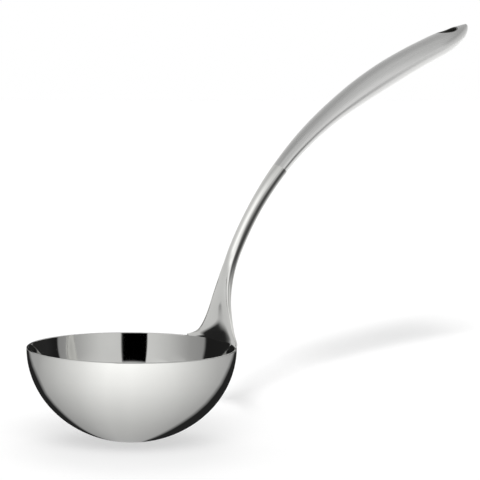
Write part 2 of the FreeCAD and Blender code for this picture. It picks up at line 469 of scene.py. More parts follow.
def dress(mesh):
    """Smooth shading: the skin's own normals on the skin, and sharp borders elsewhere."""
    mesh.polygons.foreach_set("use_smooth", [True] * len(mesh.polygons))
    mesh.set_sharp_from_angle(angle=SHARP_ANGLE)
    normals = [Vector(n.vector) for n in mesh.corner_normals]
    near = [skin.near(v.co) for v in mesh.vertices]
    brush = mesh.attributes.new("brush", "FLOAT_VECTOR", "POINT")
    brush.data.foreach_set("vector", np.array([n[2] for n in near], np.float32).ravel())
    for polygon in mesh.polygons:
        corners = list(zip(polygon.loop_indices, polygon.vertices))
        on_skin = all(near[v][0] < SKIN_GAP for _, v in corners)
        if on_skin and polygon.normal.dot(near[polygon.vertices[0]][1]) > SKIN_FACING:
            for loop, v in corners:
                normals[loop] = near[v][1]
    mesh.normals_split_custom_set(normals)


def add_object(name, data):
    added = bpy.data.objects.new(name, data)
    scene.collection.objects.link(added)
    return added


pieces = {}


def add_piece(node, mesh, material):
    piece = add_object(node + "_piece", mesh)
    mesh.materials.append(material)
    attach(piece, "root")
    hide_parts(node)
    pieces[node] = piece


def bowl_profile(rim_round):
    """Points of the bowl's wall from the outer bottom over the rim to the inner bottom, with their normals:
    radius, height, and the two parts of the normal."""
    points = []

    def wall(inset, side, start, end):
        radius, depth = RIM_RADIUS - inset, BOWL_DEPTH - inset
        highest = math.asin(rim_round / depth)
        for i in range(start, end, 1 if end > start else -1):
            angle = between(math.pi / 2, highest, i / BOWL_ROWS)
            r, down = radius * math.cos(angle), depth * math.sin(angle)
            lean = math.hypot(r / radius ** 2, down / depth ** 2)
            tilt = math.atan2(-side * down / depth ** 2 / lean, r / radius ** 2 / lean)
            if inset:
                tilt += RIM_LEAN * max(1 - down / RIM_LEAN_DEPTH, 0) ** 2
            points.append((r, BOWL_DEPTH - down, side * math.cos(tilt), math.sin(tilt)))

    wall(0, 1, 0, BOWL_ROWS + 1)
    for i in range(1, RIM_ROWS + 1):
        angle = math.pi / 2 * i / RIM_ROWS
        turn = (math.cos(angle), math.sin(angle))
        height = BOWL_DEPTH - rim_round * (1 - turn[1])
        points.append((RIM_RADIUS - rim_round * (1 - turn[0]), height, *turn))
    for i in range(RIM_ROWS):
        angle = math.pi / 2 * (1 + i / RIM_ROWS)
        turn = (math.cos(angle), math.sin(angle))
        inner = RIM_RADIUS - BOWL_WALL
        points.append((inner + rim_round * (1 + turn[0]), BOWL_DEPTH - rim_round * (1 - turn[1]), *turn))
    wall(BOWL_WALL, -1, BOWL_ROWS, -1)
    return points


def bowl_mesh():
    """Bowl turned about its axis. Its rim is rounded, and left square where the neck is welded on."""
    weld_half = math.asin(APRON_WIDTH / 2 / FOOT_RADIUS)
    points, normals, brush, columns = [], [], [], None
    for i in range(BOWL_SEGMENTS):
        turn = 2 * math.pi * i / BOWL_SEGMENTS
        away = abs((turn + math.pi) % (2 * math.pi) - math.pi) - weld_half
        rim_round = between(RIM_ROUND_LEFT, RIM_ROUND, smooth(away / RIM_ROUND_RUN))
        profile = bowl_profile(rim_round)
        columns = len(profile)
        for r, z, nr, nz in profile:
            points.append(Vector((r * math.cos(turn), r * math.sin(turn), z)) * MM)
            normals.append(Vector((nr * math.cos(turn), nr * math.sin(turn), nz)))
            brush.append((turn * RIM_RADIUS * MM, z * MM, r * MM))
    faces = []
    for i in range(BOWL_SEGMENTS):
        a, b = i * columns, (i + 1) % BOWL_SEGMENTS * columns
        for j in range(columns - 1):
            if j == 0:
                faces.append((0, b + 1, a + 1))
            elif j == columns - 2:
                faces.append((a + j, b + j, columns - 1))
            else:
                faces.append((a + j, b + j, b + j + 1, a + j + 1))
    mesh = bpy.data.meshes.new("bowl_piece")
    mesh.from_pydata(points, [], faces)
    mesh.polygons.foreach_set("use_smooth", [True] * len(mesh.polygons))
    attribute = mesh.attributes.new("brush", "FLOAT_VECTOR", "POINT")
    attribute.data.foreach_set("vector", np.array(brush, np.float32).ravel())
    mesh.normals_split_custom_set_from_vertices(normals)
    shape = bmesh.new()
    shape.from_mesh(mesh)
    loose = [v for v in shape.verts if not v.link_faces]
    bmesh.ops.delete(shape, geom=loose, context="VERTS")
    shape.to_mesh(mesh)
    shape.free()
    return mesh


def ring_mesh(name, rings, closed=False):
    """Solid through rings of the handle's section, with flat ends or closed on itself."""
    points = [p for r in rings for p in r]
    faces = tube_faces(len(rings), COLUMNS, closed)
    if not closed:
        middle = CREST_COLUMNS + SIDE_COLUMNS + SEAM_COLUMNS // 2
        faces += ladder_cap(0, COLUMNS, middle, True)
        faces += ladder_cap((len(rings) - 1) * COLUMNS, COLUMNS, middle, False)
    mesh = clean_mesh(name, points, faces)
    dress(mesh)
    return mesh


def path_columns(start, end):
    """Columns of a ring from start to end, in the ring's direction."""
    count = (end - start) % COLUMNS
    return [(start + i) % COLUMNS for i in range(count + 1)]


def across_shell(outer):
    """Line back from the end of an arc to its start."""
    return [outer[-1].lerp(outer[0], i / (len(outer) - 1)) for i in range(len(outer))]


def along_middle(outer):
    """Line back in the plane of symmetry."""
    return [Vector((p.x, 0, p.z)) for p in reversed(outer)]


def grip_loops(columns, way_back):
    """Loops along some columns of the grip: over the skin and back along the hollow, and past the hollow by
    a way of their own."""
    loops = []
    for d in stretch(SHELL_START, SKIN_END):
        whole = ring(d)
        outer = [whole[c] for c in columns]
        if d <= HOLLOW_END:
            inside = ring(d, SHELL_WALL)
            loops.append(outer + [inside[c] for c in reversed(columns)])
        if d >= HOLLOW_END:
            loops.append(outer + way_back(outer))
    return loops


def loop_mesh(name, loops):
    """Solid through successive loops, closed at its first one. The last one is a point."""
    columns = len(loops[0])
    points = [p for loop in loops for p in loop]
    faces = tube_faces(len(loops), columns)
    for i in range(columns // 2 - 1):
        faces.append((i, i + 1, columns - 2 - i, columns - 1 - i))
    return clean_mesh(name, points, faces)


def seam_mesh(name):
    """Both sides of the seam, joined past the hollow."""
    right = grip_loops(path_columns(RIGHT_SEAM, RIGHT_SEAM + SEAM_COLUMNS), along_middle)
    left = [[Vector((p.x, -p.y, p.z)) for p in loop] for loop in right]
    shape = bmesh.new()
    for loops in (right, left):
        shape.from_mesh(loop_mesh(name, loops))
    bmesh.ops.remove_doubles(shape, verts=shape.verts, dist=JOIN_DISTANCE)
    membrane = [f for f in shape.faces if all(abs(v.co.y) < MIDDLE_GAP for v in f.verts)]
    bmesh.ops.delete(shape, geom=membrane, context="FACES")
    bmesh.ops.recalc_face_normals(shape, faces=shape.faces)
    mesh = bpy.data.meshes.new(name)
    shape.to_mesh(mesh)
    shape.free()
    dress(mesh)
    return mesh


HOLE_PLACE, HOLE_ALONG, HOLE_AXIS = handle_frame(HANDLE_LENGTH - HOLE_FROM_TIP)
HOLE_SIDE = Vector((0, 1, 0))
HOLE_REACH = 30.0


def hole_direction(index):
    angle = 2 * math.pi * index / HOLE_SEGMENTS
    return HOLE_ALONG * math.cos(angle) + HOLE_SIDE * math.sin(angle)


def hole_height(index, radius, side):
    """Height of the skin above the handle line, on one side of it, at a radius from the hole's axis."""
    start = HOLE_PLACE + hole_direction(index) * radius + HOLE_AXIS * HOLE_REACH * side
    return side * (HOLE_REACH - skin.height(start, -HOLE_AXIS * side))


def hole_mesh(name, profile):
    """Solid turned about the hole's axis. The profile gives radius and height for a direction's index."""
    loops = [profile(i) for i in range(HOLE_SEGMENTS)]
    points = []
    for i, loop in enumerate(loops):
        points += [HOLE_PLACE + hole_direction(i) * r + HOLE_AXIS * h for r, h in loop]
    return clean_mesh(name, points, tube_faces(HOLE_SEGMENTS, len(loops[0]), True))


def sleeve_profile(index):
    """Tube flush with the skin at both ends, with rounded edges at its mouths."""
    bore = HOLE_DIAMETER / 2
    land = bore + HOLE_EDGE_ROUND
    points = []
    for side in (1, -1):
        face = hole_height(index, land, side)
        end = [(SLEEVE_RADIUS, hole_height(index, SLEEVE_RADIUS, side))]
        for i in range(RIM_ROWS + 1):
            angle = math.pi / 2 * i / RIM_ROWS
            radius = land - HOLE_EDGE_ROUND * math.sin(angle)
            end.append((radius, face - side * HOLE_EDGE_ROUND * (1 - math.cos(angle))))
        points += end if side > 0 else end[::-1]
    return points


def sleeve_weld_profile(side):
    def profile(index):
        outer = hole_height(index, WELD_RADIUS, side)
        inner = hole_height(index, SLEEVE_RADIUS, side)
        depth = SHELL_WALL * side
        return [
            (WELD_RADIUS, outer),
            (SLEEVE_RADIUS, inner),
            (SLEEVE_RADIUS, inner - depth),
            (WELD_RADIUS, outer - depth),
        ]

    return profile


def sleeve_welds_mesh(name):
    shape = bmesh.new()
    for side in (1, -1):
        shape.from_mesh(hole_mesh(name, sleeve_weld_profile(side)))
    mesh = bpy.data.meshes.new(name)
    shape.to_mesh(mesh)
    shape.free()
    dress(mesh)
    return mesh


def hole_cutter():
    def profile(index):
        return [(0, HOLE_REACH), (WELD_RADIUS, HOLE_REACH), (WELD_RADIUS, -HOLE_REACH), (0, -HOLE_REACH)]

    return add_object("hole_cutter", hole_mesh("hole_cutter", profile))


def shell_mesh(name, columns, cutter):
    """One shell of the grip, with the hole for the sleeve and its weld cut through it."""
    uncut = add_object(name, loop_mesh(name, grip_loops(columns, across_shell)))
    cut = uncut.modifiers.new("hole", "BOOLEAN")
    cut.operation = "DIFFERENCE"
    cut.solver = "EXACT"
    cut.object = cutter
    graph = bpy.context.evaluated_depsgraph_get()
    mesh = bpy.data.meshes.new_from_object(uncut.evaluated_get(graph))
    bpy.data.objects.remove(uncut)
    mesh.name = name
    dress(mesh)
    return mesh


def node_maker(material):
    """Short calls that add nodes and link them."""
    tree = material.node_tree

    def add(kind, values=(), **settings):
        node = tree.nodes.new(kind)
        for key, value in settings.items():
            setattr(node, key, value)
        for socket, value in values:
            if isinstance(value, bpy.types.NodeSocket):
                tree.links.new(value, node.inputs[socket])
            else:
                node.inputs[socket].default_value = value
        return node

    return add


def calculate(add, operation, first, second):
    return add("ShaderNodeMath", [(0, first), (1, second)], operation=operation).outputs[0]


def remap(add, value, old, new=(0.0, 1.0), **settings):
    """Value carried over from one range to another."""
    limits = [(0, value), (1, old[0]), (2, old[1]), (3, new[0]), (4, new[1])]
    return add("ShaderNodeMapRange", limits, **settings).outputs[0]


def empty_material(name):
    material = bpy.data.materials.new(name)
    material.use_nodes = True
    material.node_tree.nodes.clear()
    return material


# Steel: its colours, where satin takes over from polish along the handle, in millimetres, the marks of the
# brush and the smudges, and how rough each finish is. The bowl's girth ends before its satin would begin
POLISHED_COLOUR = (0.72, 0.72, 0.70)
SATIN_COLOUR = (0.72, 0.72, 0.71)
# The bore's colour is painted shade: it darkens the hanging sleeve, inside the hole and on its flush ends,
# where the hole lies in shade
BORE_PAINTED_SHADE = (0.16, 0.16, 0.15)
SMUDGE_TONE = 0.93
HANDLE_SATIN = (82.0, 122.0)
BOWL_SATIN = (900.0, 901.0)
STREAK_SCALE = (60.0, 5200.0, 0.0)
STREAK_RANGE = (0.3, 0.7)
SMUDGE_SCALE = 45.0
SMUDGE_RANGE = (0.35, 0.75)
POLISHED_ROUGHNESS = (0.035, 0.075)
SATIN_ROUGHNESS = (0.24, 0.36)
BRUSH_STRENGTH = 0.12
BRUSH_DEPTH = 0.00002


def steel(name, colour, satin_span):
    """Steel that is mirror polished up to one distance along the handle and satin brushed past another."""
    material = empty_material(name)
    add = node_maker(material)
    brush = add("ShaderNodeAttribute", attribute_name="brush").outputs["Vector"]
    along = add("ShaderNodeSeparateXYZ", [(0, brush)]).outputs[0]
    place = add("ShaderNodeNewGeometry").outputs["Position"]
    span = [d * MM for d in satin_span]
    satin_share = remap(add, along, span, interpolation_type="SMOOTHSTEP")
    streak_place = add("ShaderNodeVectorMath", [(0, brush), (1, STREAK_SCALE)], operation="MULTIPLY")
    streaks = add(
        "ShaderNodeTexNoise",
        [(0, streak_place.outputs[0]), ("Scale", 1.0), ("Detail", 4.0), ("Roughness", 0.65)],
    ).outputs[0]
    smudges = add(
        "ShaderNodeTexNoise",
        [(0, place), ("Scale", SMUDGE_SCALE), ("Detail", 5.0), ("Roughness", 0.6)],
    ).outputs[0]
    polished_rough = remap(add, smudges, SMUDGE_RANGE, POLISHED_ROUGHNESS)
    satin_rough = remap(add, streaks, STREAK_RANGE, SATIN_ROUGHNESS)
    roughness = [(0, satin_share), (2, polished_rough), (3, satin_rough)]
    rough = add("ShaderNodeMix", roughness, data_type="FLOAT").outputs[0]
    smudged = [c * SMUDGE_TONE for c in colour]
    tones = [(0, smudges), (6, (*colour, 1.0)), (7, (*smudged, 1.0))]
    tone = add("ShaderNodeMix", tones, data_type="RGBA").outputs[2]
    height = calculate(add, "MULTIPLY", streaks, satin_share)
    bump = add(
        "ShaderNodeBump",
        [("Strength", BRUSH_STRENGTH), ("Distance", BRUSH_DEPTH), ("Height", height)],
    )
    shader = add(
        "ShaderNodeBsdfPrincipled",
        [("Base Color", tone), ("Metallic", 1.0), ("Roughness", rough), ("Normal", bump.outputs[0])],
    )
    add("ShaderNodeOutputMaterial", [(0, shader.outputs[0])])
    return material


polished = steel("polished_steel", POLISHED_COLOUR, HANDLE_SATIN)
satin = steel("satin_steel", SATIN_COLOUR, HANDLE_SATIN)
bowl_steel = steel("bowl_steel", POLISHED_COLOUR, BOWL_SATIN)
# Dark steel for the hanging sleeve, as painted shade in the hanging hole
painted_shade_steel = steel("painted_shade_steel", BORE_PAINTED_SHADE, HANDLE_SATIN)

add_piece("bowl", bowl_mesh(), bowl_steel)
foot_rings = [ring(d) for d in stretch(0, FOOT_WELD_WIDTH)]
add_piece("bowl_weld", ring_mesh("bowl_weld", foot_rings), polished)
spigot_inset = SHELL_WALL + SPIGOT_CLEARANCE
neck_rings = [ring(d) for d in stretch(FOOT_WELD_WIDTH, NECK_LENGTH)]
neck_rings += [ring(d, spigot_inset) for d in stretch(NECK_LENGTH, NECK_LENGTH + SPIGOT_LENGTH)]
add_piece("neck", ring_mesh("neck", neck_rings), polished)
weld_rings = [ring(d) for d in stretch(NECK_LENGTH, SHELL_START)]
weld_rings += [ring(d, SHELL_WALL) for d in reversed(stretch(NECK_LENGTH, SHELL_START))]
add_piece("neck_weld", ring_mesh("neck_weld", weld_rings, True), polished)
cutter = hole_cutter()
upper_columns = path_columns(LEFT_SEAM + SEAM_COLUMNS, RIGHT_SEAM)
lower_columns = path_columns(RIGHT_SEAM + SEAM_COLUMNS, LEFT_SEAM)
add_piece("grip_upper_shell", shell_mesh("grip_upper_shell", upper_columns, cutter), satin)
add_piece("grip_lower_shell", shell_mesh("grip_lower_shell", lower_columns, cutter), satin)
bpy.data.objects.remove(cutter)
add_piece("seam_weld", seam_mesh("seam_weld"), satin)
sleeve = hole_mesh("hanging_sleeve", sleeve_profile)
dress(sleeve)
add_piece("hanging_sleeve", sleeve, painted_shade_steel)
add_piece("sleeve_welds", sleeve_welds_mesh("sleeve_welds"), satin)

# Camera at the photo's viewing angle
VIEW_TURN = math.radians(-25.5)
VIEW_DISTANCE = 1.0
VIEW_RISE = math.radians(5.964)
VIEW_PAN = math.radians(3.04)
VIEW_TILT = math.radians(5.349)
VIEW_ROLL = math.radians(0.832)
VIEW_AIM_HEIGHT = 0.09
FOCAL_PIXELS = 2024.8
IMAGE_PIXELS = 480.0


def make_camera():
    turn = Matrix.Rotation(VIEW_TURN, 3, "Z")
    back = Vector((0, -math.cos(VIEW_RISE), math.sin(VIEW_RISE)))
    place = Vector((0, 0, VIEW_AIM_HEIGHT)) + back * VIEW_DISTANCE
    level = math.cos(VIEW_TILT)
    forward = Vector((math.sin(VIEW_PAN) * level, math.cos(VIEW_PAN) * level, -math.sin(VIEW_TILT)))
    right = Vector((math.cos(VIEW_PAN), -math.sin(VIEW_PAN), 0))
    up = right.cross(forward)
    rolled_right = right * math.cos(VIEW_ROLL) + up * math.sin(VIEW_ROLL)
    rolled_up = up * math.cos(VIEW_ROLL) - right * math.sin(VIEW_ROLL)
    axes = Matrix((rolled_right, rolled_up, -forward)).transposed()
    data = bpy.data.cameras.new("camera")
    data.sensor_width = 36.0
    data.lens = FOCAL_PIXELS / IMAGE_PIXELS * data.sensor_width
    camera = add_object("camera", data)
    camera.matrix_world = Matrix.Translation(turn @ place) @ (turn @ axes).to_4x4()
    scene.camera = camera


make_camera()


# Light on the floor: what falls on it from all round, and what it adds by itself to reach white. The lamps
# have a strength, a spread in degrees, a direction seen from the camera's side and the nodes that shade them
AMBIENT = 0.02
FLOOR_HALF = 6.0
FLOOR_TONE = 0.9
FLOOR_GRAIN = 0.01
FLOOR_GLOW = 0.118
KEY_DIRECTION = (-0.15, -1, 0.56)
GRIP_SKIN = ("grip_upper_shell", "grip_lower_shell", "seam_weld")
LAMPS = {
    "sky": (0.52, 130, (0, 0, 1), ()),
    "front": (0.68, 40, (0, -1, 1.19), ()),
    "back": (0.38, 40, (0, 1, 1.19), ()),
    "key": (1.58, 7, KEY_DIRECTION, ("bowl_weld", "neck", "neck_weld", *GRIP_SKIN, "hanging_sleeve")),
    "grip_key": (2.15, 9, KEY_DIRECTION, GRIP_SKIN),
}


def shown_rays(add):
    """1 for rays from the camera, reflections and see-through rays, and 0 for light that falls on things."""
    path = add("ShaderNodeLightPath")
    first = calculate(add, "MAXIMUM", path.outputs["Is Camera Ray"], path.outputs["Is Glossy Ray"])
    return calculate(add, "MAXIMUM", first, path.outputs["Is Transmission Ray"])


def make_world():
    world = bpy.data.worlds.new("studio")
    scene.world = world
    world.use_nodes = True
    world.node_tree.nodes.clear()
    add = node_maker(world)
    strength = remap(add, shown_rays(add), (0.0, 1.0), (AMBIENT, 1.0))
    light = add("ShaderNodeBackground", [(0, (1.0, 1.0, 1.0, 1.0)), (1, strength)])
    add("ShaderNodeOutputWorld", [(0, light.outputs[0])])


make_world()


def level_square(name, half, height):
    mesh = bpy.data.meshes.new(name)
    corners = [(x * half, y * half, height) for x, y in ((-1, -1), (1, -1), (1, 1), (-1, 1))]
    mesh.from_pydata(corners, [], [(0, 1, 2, 3)])
    return mesh


def make_floor():
    mesh = level_square("floor", FLOOR_HALF, 0)
    floor = add_object("floor", mesh)
    material = empty_material("floor_white")
    add = node_maker(material)
    grain = add("ShaderNodeTexNoise", [("Scale", 300.0), ("Detail", 3.0)]).outputs[0]
    tone = remap(add, grain, (0.0, 1.0), (FLOOR_TONE - FLOOR_GRAIN, FLOOR_TONE + FLOOR_GRAIN))
    matt = add("ShaderNodeBsdfDiffuse", [(0, tone)])
    glow_strength = calculate(add, "MULTIPLY", shown_rays(add), FLOOR_GLOW)
    glow = add("ShaderNodeEmission", [(1, glow_strength)])
    both = add("ShaderNodeAddShader", [(0, matt.outputs[0]), (1, glow.outputs[0])])
    add("ShaderNodeOutputMaterial", [(0, both.outputs[0])])
    mesh.materials.append(material)


make_floor()


def collect(name, nodes):
    """Collection of some nodes' pieces, for light linking."""
    collection = bpy.data.collections.new(name)
    for node in nodes:
        collection.objects.link(pieces[node])
    return collection


def make_lamp(name, strength, spread, towards, shaded_by):
    """Far lamp that lights the floor. The steel shows the screens in its place. Where nodes are named, only
    their pieces cast its shadow."""
    data = bpy.data.lights.new(name, "SUN")
    data.angle = math.radians(spread)
    data.energy = strength
    lamp = add_object(name, data)
    turned = Matrix.Rotation(VIEW_TURN, 3, "Z") @ Vector(towards)
    lamp.rotation_euler = turned.to_track_quat("Z", "Y").to_euler()
    lamp.visible_glossy = False
    if shaded_by:
        lamp.light_linking.blocker_collection = collect(name + "_blockers", shaded_by)


for lamp_name, lamp_values in LAMPS.items():
    make_lamp(lamp_name, *lamp_values)

# The screens of the studio, as the steel shows them: how bright they are by the angle from the camera, in
# degrees to its right. The bowl, the neck and the grip each show a standing and a lying screen of their own.
# The standing ones have rows by height, in degrees above the horizon
SCREEN_RADIUS = 1.6
SCREEN_GAP = 0.05
SCREEN_LIFT = 0.0001
SCREEN_SEGMENTS = 96
SCREEN_LEVELS = 24
BOWL_PIECES = ("bowl",)
NECK_PIECES = ("bowl_weld", "neck", "neck_weld")
GRIP_PIECES = (*GRIP_SKIN, "hanging_sleeve", "sleeve_welds")
LEFT_FALL = (
    (-94, 0.34), (-75, 0.39), (-60, 0.5), (-45, 0.62), (-30, 0.75), (-19.5, 0.8), (-18.5, 0.0),
    (12.5, 0.0),
)
DARK_LEFT = ((-180, 0.02), (-98, 0.015), *LEFT_FALL)
DARK_SIDES = (*DARK_LEFT, (75, 0.03), (180, 0.02))
DARK_BACK = ((67, 0.51), (89, 0.34), (96.5, 0.32), (98.5, 0.015), (180, 0.02))
BOWL_SCREEN_ROWS = (
    (2.5, (
        (-180, 0.6), (-150, 0.65), (-127, 0.8), (-98, 0.7), *LEFT_FALL, (75, 0.03), (105, 0.1), (135, 0.6),
        (180, 0.6),
    )),
    (4.5, DARK_SIDES),
    (13.5, DARK_SIDES),
    (17, (*DARK_LEFT, (13.5, 0.76), (25, 0.79), (40, 0.72), (52, 0.63), *DARK_BACK)),
    (20, (*DARK_LEFT, (13.5, 0.76), (25, 0.79), (40, 0.74), (52, 0.63), *DARK_BACK)),
    (24, (
        (-180, 0.6), (-140, 0.72), (-98, 0.72), (-94, 0.36), (-75, 0.4), (-60, 0.51), (-45, 0.64),
        (-30, 0.75), (-19.5, 0.8), (-18.5, 0.0), (12.5, 0.0), (13.5, 0.76), (25, 0.79), (40, 0.75),
        (52, 0.64), (67, 0.51), (97, 0.34), (99, 0.75), (150, 0.75), (180, 0.6),
    )),
    (27, (
        (-180, 0.72), (-150, 0.75), (-120, 0.75), (-105, 0.95), (-98, 0.9), (-92, 0.42), (-75, 0.44),
        (-60, 0.54), (-45, 0.66), (-30, 0.76), (-19.5, 0.8), (-18.5, 0.0), (12.5, 0.0), (13.5, 0.76),
        (25, 0.79), (40, 0.75), (52, 0.65), (67, 0.53), (92, 0.4), (100, 0.8), (150, 0.75), (180, 0.7),
    )),
    (33, (
        (-180, 0.58), (-150, 0.68), (-125, 0.85), (-105, 1.2), (-90, 1.37), (-78, 1.15), (-64, 0.7),
        (-50, 0.65), (-35, 0.74), (-19.5, 0.8), (-18.5, 0.0), (12.5, 0.0), (13.5, 0.76), (40, 0.76),
        (60, 0.68), (90, 0.7), (120, 0.7), (150, 0.6), (180, 0.58),
    )),
    (37.5, (
        (-180, 0.58), (-150, 0.66), (-125, 0.81), (-105, 1.18), (-90, 1.37), (-70, 1.22), (-50, 1.07),
        (-35, 0.85), (-19.5, 0.78), (-18.5, 0.0), (12.5, 0.0), (13.5, 0.76), (60, 0.8), (120, 0.69),
        (150, 0.6), (180, 0.58),
    )),
    (39.5, (
        (-180, 0.58), (-150, 0.66), (-125, 0.8), (-105, 1.17), (-90, 1.37), (-70, 1.22), (-50, 1.07),
        (-35, 0.85), (-15, 0.66), (0, 0.68), (30, 0.79), (90, 0.8), (120, 0.69), (150, 0.6), (180, 0.58),
    )),
    (45, (
        (-180, 0.57), (-150, 0.6), (-130, 0.68), (-110, 1.1), (-90, 1.38), (-60, 1.3), (-40, 1.0),
        (-15, 0.65), (0, 0.68), (30, 0.79), (90, 0.8), (120, 0.65), (180, 0.57),
    )),
    (55, (
        (-180, 0.6), (-150, 0.5), (-120, 0.5), (-100, 0.85), (-80, 1.3), (-60, 1.25), (-40, 1.0),
        (-15, 0.72), (30, 0.79), (90, 0.65), (150, 0.55), (180, 0.6),
    )),
    (65, (
        (-180, 0.7), (-150, 0.55), (-120, 0.49), (-90, 0.62), (-60, 0.74), (-30, 0.65), (0, 0.67),
        (30, 0.77), (60, 0.65), (120, 0.55), (180, 0.7),
    )),
    (78, ((-180, 0.74), (-90, 0.6), (0, 0.72), (60, 0.75), (120, 0.62), (180, 0.74))),
)
# The bowl's lying screen carries a painted shadow of the bowl on the floor, as the steel shows it: darker
# close to the bowl's foot and dark past an edge on either side. Its rows go by metres from the bowl's foot
# and give the brightness and the two edges
LYING_TONES = (
    (-180, 0.36), (-135, 0.40), (-112, 0.47), (-97, 0.60), (-82, 0.71), (-67, 0.85), (-52, 1.0),
    (-37, 1.21), (-22, 1.36), (0, 1.36), (22, 1.22), (37, 1.10), (52, 0.94), (67, 0.81), (82, 0.68),
    (97, 0.58), (112, 0.52), (135, 0.42), (180, 0.36),
)
LYING_ROWS = (
    (0.015, 0.35, -65, 31),
    (0.025, 0.42, -73, 46),
    (0.035, 0.49, -79, 60),
    (0.045, 0.58, -86, 73),
    (0.058, 0.68, -95, 85),
    (0.075, 0.79, -104, 95),
    (0.098, 0.88, -109, 105),
    (0.13, 0.94, -116, 113),
    (0.175, 0.99, -125, 122),
    (0.24, 1.02, -133, 131),
    (0.33, 1.04, -140, 140),
)
EDGE_SOFTNESS = 8
PAINTED_SHADOW_TONE = 0.02
BEHIND_TONE = 0.5
BEHIND_START = 158
FAR_RADIUS = 0.45
FAR_TONES = (
    (-180, 0.6), (-150, 0.65), (-127, 0.8), (-100, 0.75), (-60, 1.0), (-22, 1.36), (10, 1.3), (25, 0.8),
    (40, 0.08), (70, 0.1), (84, 0.8), (150, 0.9), (180, 0.3),
)
NECK_SCREEN_ROWS = (
    (1, (
        (-180, 1.0), (-134, 0.8), (-131, 0.02), (-117, 0.02), (-113, 0.7), (-70, 0.6), (-7, 0.1),
        (50, 0.07), (100, 0.4), (140, 1.0), (180, 1.0),
    )),
    (7, (
        (-180, 1.0), (-142, 0.7), (-130.6, 0.7), (-129, 0.02), (-117, 0.02), (-112, 0.6), (-70, 0.6),
        (-7, 0.1), (40, 0.06), (70, 0.3), (110, 0.6), (140, 1.0), (180, 1.0),
    )),
    (12, (
        (-180, 1.0), (-142, 0.7), (-128.4, 0.7), (-126.8, 0.02), (-117, 0.02), (-112, 0.7), (-70, 0.6),
        (-7, 0.1), (35, 0.06), (55, 0.35), (100, 0.55), (140, 0.9), (180, 1.0),
    )),
    (15, (
        (-180, 1.0), (-142, 0.75), (-127, 0.7), (-97, 0.8), (-60, 0.5), (-7, 0.1), (22, 0.07), (55, 0.5),
        (97, 0.7), (180, 1.0),
    )),
    (24, (
        (-180, 0.8), (-112, 0.75), (-90, 0.95), (-60, 0.7), (-15, 0.2), (7, 0.1), (22, 0.25), (40, 0.45),
        (90, 0.8), (180, 0.8),
    )),
    (31, (
        (-180, 0.7), (-127, 0.75), (-97, 1.0), (-80, 1.45), (-40, 1.2), (-22, 0.45), (-7, 0.25), (22, 0.9),
        (180, 0.7),
    )),
    (38, (
        (-180, 0.6), (-127, 0.65), (-97, 1.25), (-80, 1.5), (-52, 1.15), (-22, 0.5), (7, 0.6), (97, 0.9),
        (180, 0.6),
    )),
    (46, ((-180, 0.7), (-120, 0.6), (-97, 1.1), (-75, 1.45), (-37, 1.0), (0, 0.7), (100, 0.9), (180, 0.7))),
    (56, ((-180, 0.7), (-112, 0.5), (-75, 0.85), (-30, 0.75), (37, 1.0), (180, 0.7))),
    (75, ((-180, 0.9), (-90, 0.7), (0, 0.9), (180, 0.9))),
)
NECK_FLOOR_TONES = (
    (-180, 1.1), (-127, 0.75), (-97, 0.75), (-20, 0.3), (10, 0.12), (65, 0.1), (90, 0.3), (130, 0.8),
    (180, 1.1),
)
GRIP_SCREEN_ROWS = (
    (6, ((-180, 1.1), (-60, 0.6), (12, 0.4), (22, 0.08), (42, 0.08), (58, 0.8), (110, 0.8), (180, 1.1))),
    (12, ((-180, 1.1), (-60, 0.6), (12, 0.45), (22, 0.2), (36, 0.2), (52, 0.85), (110, 0.8), (180, 1.1))),
    (18, ((-180, 1.0), (-60, 0.6), (22, 0.5), (40, 0.9), (70, 0.7), (140, 0.8), (180, 1.0))),
    (31, ((-180, 0.6), (-30, 0.65), (22, 0.95), (40, 1.0), (70, 0.7), (110, 0.7), (180, 0.6))),
    (45, (
        (-180, 0.45), (-140, 0.45), (-90, 0.9), (-10, 0.7), (30, 0.95), (70, 0.5), (120, 0.6), (180, 0.45),
    )),
    (56, (
        (-180, 0.5), (-120, 0.35), (-80, 0.65), (-20, 0.65), (20, 0.9), (40, 0.9), (70, 0.45), (130, 0.35),
        (180, 0.5),
    )),
    (75, ((-180, 0.7), (-90, 0.6), (20, 0.75), (120, 0.6), (180, 0.7))),
)
GRIP_FLOOR_TONES = (
    (-180, 1.5), (-120, 0.9), (-40, 0.6), (20, 0.2), (50, 0.15), (70, 0.7), (90, 1.0), (120, 1.1),
    (150, 1.4), (180, 1.5),
)


def angle_from_camera(add):
    """Angle from the camera's side round the upright axis, as 0 to 1 for a half turn to either side."""
    place = add("ShaderNodeSeparateXYZ", [(0, add("ShaderNodeTexCoord").outputs["Object"])])
    front = calculate(add, "MULTIPLY", place.outputs[1], -1.0)
    angle = calculate(add, "ARCTAN2", place.outputs[0], front)
    return remap(add, angle, (-math.pi, math.pi)), place.outputs[2]


def colour_ramp(add, value, colours):
    """Ramp through three values that go with each position."""
    ramp = add("ShaderNodeValToRGB", [(0, value)])
    stops = ramp.color_ramp.elements
    for index, (position, colour) in enumerate(colours):
        stop = stops[index] if index < 2 else stops.new(position)
        stop.position = position
        stop.color = (*colour, 1.0)
    return ramp.outputs[0]


def turn_share(degrees):
    return degrees / 360 + 0.5


def tone_ramp(add, share, tones):
    """Tones by angle, at half strength so that they fit in a ramp."""
    return colour_ramp(add, share, [(turn_share(degrees), [tone / 2] * 3) for degrees, tone in tones])


def add_screen(name, mesh, material, shown_by):
    """Screen that only the reflections in some pieces show."""
    mesh.materials.append(material)
    screen = add_object(name, mesh)
    screen.rotation_euler = (0, 0, VIEW_TURN)
    screen.visible_camera = False
    screen.visible_diffuse = False
    screen.visible_transmission = False
    screen.visible_volume_scatter = False
    screen.visible_shadow = False
    screen.light_linking.receiver_collection = collect(name + "_pieces", shown_by)


